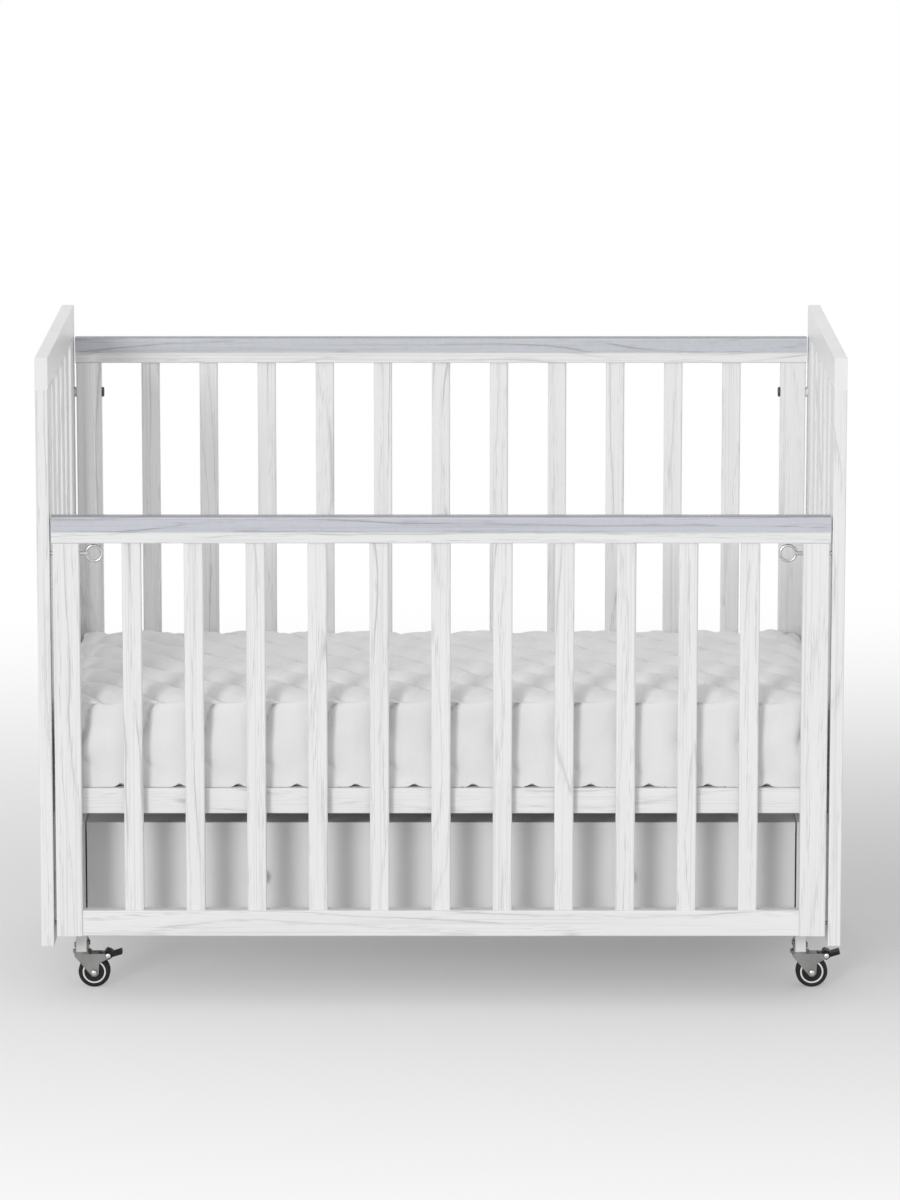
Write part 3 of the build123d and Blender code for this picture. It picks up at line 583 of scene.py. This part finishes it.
for corner in corners:
    nodeMaterials["zincSteel"].append("castor_fork_" + corner)
    nodeMaterials["tyreRubber"] = nodeMaterials.get("tyreRubber", []) + ["castor_tyre_" + corner]
    nodeMaterials["blackPlastic"] = nodeMaterials.get("blackPlastic", []) + ["castor_hub_" + corner]
    nodeMaterials["whiteNylon"].append("swing_roller_" + corner)
for side in ("front_right", "front_left"):
    nodeMaterials["blackPlastic"].append("brake_pedal_" + side)


def paintNodes():
    for key, names in nodeMaterials.items():
        for name in names:
            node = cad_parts[name]
            if not node.material_slots:
                node.data.materials.append(materials[key])
            for slot in node.material_slots:
                slot.material = materials[key]


paintNodes()
print("frame painted")


# Mattress: swelled by cloth pressure, then quilted in diagonal puffs
mattressMake = {
    "length": 1.182, "depth": 0.580, "height": 0.134,
    "corner": 0.022, "longEdge": 0.5, "lowerEdge": 0.15,  # the edges' shares of the corner's radius
    "voxel": 0.008,
    "swell": 0.009,  # how far a point may move
    "pressure": 4.0, "steps": 20,
    "clothMass": 0.3, "clothQuality": 4, "stretchStiffness": 12, "bendStiffness": 2,
    "seamStart": -0.4977,  # a seam's place on the front edge
    "pitchX": 0.0913, "pitchY": 0.102,  # spacing of the quilting seams
    "sway": 0.09,  # how far a seam wavers, in puffs
    "seamDepth": 0.024, "seamFullness": 0.92,  # 1 would make each puff a half round
    "tuckX": 0.0457, "tuckY": 0.131, "tuckDepth": 0.0022,  # short tucks across the puffs
    "tuckShift": 0.35,  # from one puff to the next
    "calmEdge": 0.035, "calmShare": 0.45,  # the seams grow shallow this near the long edges
    "curl": 0.56, "wave": 0.06,  # how far a side seam strays on its way down, in puffs
    "sideSeamDepth": 0.010, "sideSeamWidth": 0.0055, "sideFade": 0.7,  # shallower below
    "wrinkle": 0.0014, "crinkle": 0.0008,
    "notchDepth": 0.006, "notchWidth": 0.0065,
    "slack": 0.0002,  # left free inside the frame's box
}


def readPoints(obj):
    points = np.empty(len(obj.data.vertices) * 3)
    obj.data.vertices.foreach_get("co", points)
    return points.reshape(-1, 3)


def readNormals(obj):
    normals = np.empty(len(obj.data.vertices) * 3)
    obj.data.vertices.foreach_get("normal", normals)
    return normals.reshape(-1, 3)


def writePoints(obj, points):
    obj.data.vertices.foreach_set("co", points.ravel())
    obj.data.update()


def smoothStep(low, high, value):
    t = np.clip((value - low) / (high - low), 0, 1)
    return t * t * (3 - 2 * t)


def swellMattress(pad):
    made = mattressMake
    start = readPoints(pad).copy()
    makeActive(pad)
    bpy.ops.object.modifier_add(type="CLOTH")
    cloth = pad.modifiers[-1]
    cloth.settings.use_pressure = True
    cloth.settings.uniform_pressure_force = made["pressure"]
    cloth.settings.effector_weights.gravity = 0
    cloth.settings.quality = made["clothQuality"]
    cloth.settings.mass = made["clothMass"]
    cloth.settings.tension_stiffness = made["stretchStiffness"]
    cloth.settings.compression_stiffness = made["stretchStiffness"]
    cloth.settings.bending_stiffness = made["bendStiffness"]
    cloth.point_cache.frame_start = 1
    cloth.point_cache.frame_end = made["steps"]
    for step in range(1, made["steps"] + 1):
        scene.frame_set(step)
    bpy.ops.object.modifier_apply(modifier=cloth.name)
    scene.frame_set(1)
    move = readPoints(pad) - start
    move -= move.mean(axis=0)
    far = np.linalg.norm(move, axis=1, keepdims=True)
    cap = made["swell"]
    move *= np.where(far > 1e-9, cap * np.tanh(far / cap) / np.maximum(far, 1e-9), 0)
    writePoints(pad, start + move)


def toSeam(phase):  # 0 on a seam, 1 in the middle of a puff
    part = phase % 1.0
    return 2 * np.minimum(part, 1 - part)


def seamPhase(x, y):  # a whole number on each seam
    made = mattressMake
    along = (x - made["seamStart"]) / made["pitchX"]
    deep = (y + made["depth"] / 2) / made["pitchY"]
    sway = made["sway"] * np.sin(np.pi * (along - deep)) * (1 - np.exp(-np.maximum(deep, 0)))
    return along + deep + sway


def quiltMattress(pad):
    made = mattressMake
    points, normals = readPoints(pad), readNormals(pad)
    x, y, z = (points - (points.max(axis=0) + points.min(axis=0)) / 2).T
    drop = np.clip((z.max() - z) / np.ptp(z), 0, 1)
    halfX, halfY = made["length"] / 2, made["depth"] / 2

    nearSeam = 1 - toSeam(seamPhase(x, y))
    seamDip = made["seamDepth"] * (1 - np.sqrt(1 - (made["seamFullness"] * nearSeam) ** 2))
    tuck = x / made["tuckX"] - y / made["tuckY"] + made["tuckShift"] * np.floor(seamPhase(x, y))
    tuckDip = made["tuckDepth"] * (1 - toSeam(tuck)) ** 3 * (1 - nearSeam ** 2)
    calm = smoothStep(0, made["calmEdge"], halfY - np.abs(y))
    calm = made["calmShare"] + (1 - made["calmShare"]) * calm
    topDip = (seamDip + tuckDip) * calm

    curl = made["curl"] * np.sin(np.pi * drop) ** 0.8 + made["wave"] * np.sin(4 * np.pi * drop)
    fadeDown = 1 - made["sideFade"] * smoothStep(0.42, 0.62, drop)
    facing = np.abs(normals)
    sideDip = 0
    for share, phase, span in (
        (facing[:, 1] * (y < 0), seamPhase(x, -halfY) + curl, made["pitchX"]),
        (facing[:, 1] * (y > 0), seamPhase(x, halfY) - curl, made["pitchX"]),
        (facing[:, 0] * (x < 0), seamPhase(-halfX, y) - curl, made["pitchY"]),
        (facing[:, 0] * (x > 0), seamPhase(halfX, y) + curl, made["pitchY"]),
    ):
        near = toSeam(phase)
        crease = np.exp(-near * span / 2 / made["sideSeamWidth"])
        dip = made["sideSeamDepth"] * (crease + 0.5 * (1 - near) ** 2) * fadeDown
        sideDip = sideDip + smoothStep(0.35, 0.9, share) * dip
    topShare = smoothStep(0.2, 0.8, normals[:, 2])
    inward = topDip * topShare + sideDip * (1 - topShare)

    broad = [noise.noise(Vector(p) * 26.0) for p in points]
    sharp = [noise.noise(Vector((p[0] * 70, p[1] * 70, p[2] * 24))) for p in points]
    wrinkle = np.array(broad) * made["wrinkle"] + np.array(sharp) * made["crinkle"]
    writePoints(pad, points - normals * (inward - wrinkle)[:, None])


def fillBox(pad, low, high):  # spreads the pad over the space that the frame keeps for it
    points = readPoints(pad)
    for axis in range(3):
        start, end = low[axis] + mattressMake["slack"], high[axis] - mattressMake["slack"]
        share = (points[:, axis] - points[:, axis].min()) / np.ptp(points[:, axis])
        points[:, axis] = start + share * (end - start)
    writePoints(pad, points)


mattressFoot = {
    "flatBelow": 0.010, "roundAbove": 0.026,  # the underside is pressed flat below the first height
    "wallFrom": 0.020, "wallTo": 0.032, "wallBand": 0.02,  # where the upright side is measured
    "edgeStart": 0.018, "edgeFull": 0.006,  # how far inside the side the lower edge starts
    "outFrom": 0.006, "outTo": 0.022,  # heights over which the edge is brought out to the side
    "downFrom": 0.003, "downTo": 0.012,  # and down to the ground
    "notchRise": 0.014,
}


def squareLowerEdge(pad):  # square where the foam stands on the base, but for a notch under each seam
    made, foot = mattressMake, mattressFoot
    points = readPoints(pad)
    x, z = points[:, 0], points[:, 2]
    ground = z.min()
    bulge = z - ground
    z = ground + bulge * smoothStep(foot["flatBelow"], foot["roundAbove"], bulge)
    middle = (points[:, 1].max() + points[:, 1].min()) / 2
    y = points[:, 1] - middle
    rise, out = z - ground, np.abs(y)
    band = (rise > foot["wallFrom"]) & (rise < foot["wallTo"]) & (out > out.max() - foot["wallBand"])
    wall = np.median(out[band])
    outer = smoothStep(wall - foot["edgeStart"], wall - foot["edgeFull"], out)
    outward = outer * (1 - smoothStep(foot["outFrom"], foot["outTo"], rise))
    downward = outer * (1 - smoothStep(foot["downFrom"], foot["downTo"], rise))
    across = middle + np.sign(y) * (out + (wall - out) * outward)
    notch = toSeam(seamPhase(x, -made["depth"] / 2)) * made["pitchX"] / 2
    lift = made["notchDepth"] * np.exp(-(notch / made["notchWidth"]) ** 2)
    lift = lift * outer * np.exp(-(rise / foot["notchRise"]) ** 2)
    height = z + (ground - z) * downward + lift
    writePoints(pad, np.stack((x, across, height), axis=1))


def makeBlock(middle):  # rounded block of small even faces
    made = mattressMake
    clearSelection()
    bpy.ops.mesh.primitive_cube_add(size=1, location=middle)
    pad = bpy.context.active_object
    pad.scale = (made["length"], made["depth"], made["height"])
    bpy.ops.object.transform_apply(location=True, rotation=True, scale=True)
    weights = pad.data.attributes.new("bevel_weight_edge", "FLOAT", "EDGE")
    for edge in pad.data.edges:
        one, two = (pad.data.vertices[v].co - Vector(middle) for v in edge.vertices)
        if max(one.z, two.z) < 0:
            share = made["lowerEdge"]
        elif min(one.z, two.z) > 0 and one.x * two.x < 0:
            share = made["longEdge"]
        else:
            share = 1.0
        weights.data[edge.index].value = share
    addModifier(pad, "BEVEL", width=made["corner"], segments=4, limit_method="WEIGHT")
    addModifier(pad, "REMESH", mode="VOXEL", voxel_size=made["voxel"])
    applyModifiers(pad)
    return pad


def makeMattress():
    low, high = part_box("mattress")
    pad = makeBlock([(a + b) / 2 for a, b in zip(low, high)])
    swellMattress(pad)
    addModifier(pad, "SUBSURF", levels=1, render_levels=1)
    applyModifiers(pad)
    quiltMattress(pad)
    print("mattress swelled to", [round(float(v), 4) for v in np.ptp(readPoints(pad), axis=0)])
    fillBox(pad, low, high)
    squareLowerEdge(pad)
    makeActive(pad)
    bpy.ops.object.shade_smooth()
    pad.name = "quiltedMattress"
    dress(pad, materials["mattressKnit"], "crib")
    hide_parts("mattress")
    print("mattress:", len(pad.data.polygons), "faces")


makeMattress()


# Wheel trim: a light ring on each hub face, and a domed cap on each axle end
wheelTrim = {
    "ringRadius": 0.0171, "ringWidth": 0.0025, "ringHeight": 0.0007, "ringBevel": 0.0002,
    "capRadius": 0.0040, "capHeight": 0.0015,
    "hubFace": 0.0095,
    "pinInset": 0.006, "pinBelowTop": 0.0067, "pinStepIn": 0.0005,
}


def makeRingPattern():
    made = wheelTrim
    inner = made["ringRadius"] - made["ringWidth"] / 2
    clearSelection()
    bpy.ops.mesh.primitive_circle_add(vertices=64, radius=inner, location=(0, 0, 0))
    ring = bpy.context.active_object
    bpy.ops.object.mode_set(mode="EDIT")
    bpy.ops.mesh.select_all(action="SELECT")
    bpy.ops.mesh.extrude_region_move()
    grow = 1 + made["ringWidth"] / inner
    bpy.ops.transform.resize(value=(grow, grow, 1))
    bpy.ops.mesh.select_all(action="SELECT")
    bpy.ops.mesh.extrude_region_move(TRANSFORM_OT_translate={"value": (0, 0, made["ringHeight"])})
    bpy.ops.mesh.select_all(action="SELECT")
    bpy.ops.mesh.normals_make_consistent(inside=False)
    bpy.ops.object.mode_set(mode="OBJECT")
    addModifier(ring, "BEVEL", width=made["ringBevel"], segments=2, limit_method="ANGLE")
    applyModifiers(ring)
    ring.name = "hubRingPattern"
    ring.rotation_euler = (quarter, 0, 0)
    makeActive(ring)
    bpy.ops.object.transform_apply(location=False, rotation=True, scale=False)
    return ring


def makeCapPattern():
    made = wheelTrim
    clearSelection()
    bpy.ops.mesh.primitive_uv_sphere_add(
        segments=32, ring_count=16, radius=made["capRadius"], location=(0, 0, 0)
    )
    cap = bpy.context.active_object
    bpy.ops.object.mode_set(mode="EDIT")
    bpy.ops.mesh.select_all(action="SELECT")
    bpy.ops.mesh.bisect(plane_co=(0, 0, 0), plane_no=(0, 1, 0), clear_outer=True, use_fill=True)
    bpy.ops.mesh.select_all(action="SELECT")
    bpy.ops.transform.resize(value=(1, made["capHeight"] / made["capRadius"], 1))
    bpy.ops.object.mode_set(mode="OBJECT")
    cap.name = "axleCapPattern"
    return cap


def makeWheelTrim():
    made = wheelTrim
    ring, cap = makeRingPattern(), makeCapPattern()
    for corner in corners:
        tyreLow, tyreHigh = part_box("castor_tyre_" + corner)
        forkLow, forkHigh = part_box("castor_fork_" + corner)
        centre = [(a + b) / 2 for a, b in zip(tyreLow, tyreHigh)]
        for label, sign in (("Near", -1), ("Far", 1)):
            ringY = centre[1] + sign * made["hubFace"]
            turned = 0 if sign < 0 else math.pi
            piece = placeCopy(ring, "hubRing" + label + "_" + corner, (centre[0], ringY, centre[2]), turned)
            dress(piece, materials["whiteNylon"], "wheel_" + corner)
            capY = forkLow[1] if sign < 0 else forkHigh[1]
            piece = placeCopy(cap, "axleCap" + label + "_" + corner, (centre[0], capY, centre[2]), turned)
            dress(piece, materials["brightPin"], "castor_" + corner)
            if corner.startswith("front"):
                pedalLow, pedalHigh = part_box("brake_pedal_" + corner)
                pinX, pinZ = pedalLow[0] + made["pinInset"], forkHigh[2] - made["pinBelowTop"]
                pinY = capY - sign * made["pinStepIn"]
                piece = placeCopy(cap, "brakePinCap" + label + "_" + corner, (pinX, pinY, pinZ), turned)
                dress(piece, materials["brightPin"], "castor_" + corner)
    for pattern in (ring, cap):
        bpy.data.objects.remove(pattern)


makeWheelTrim()
print("wheel trim done")
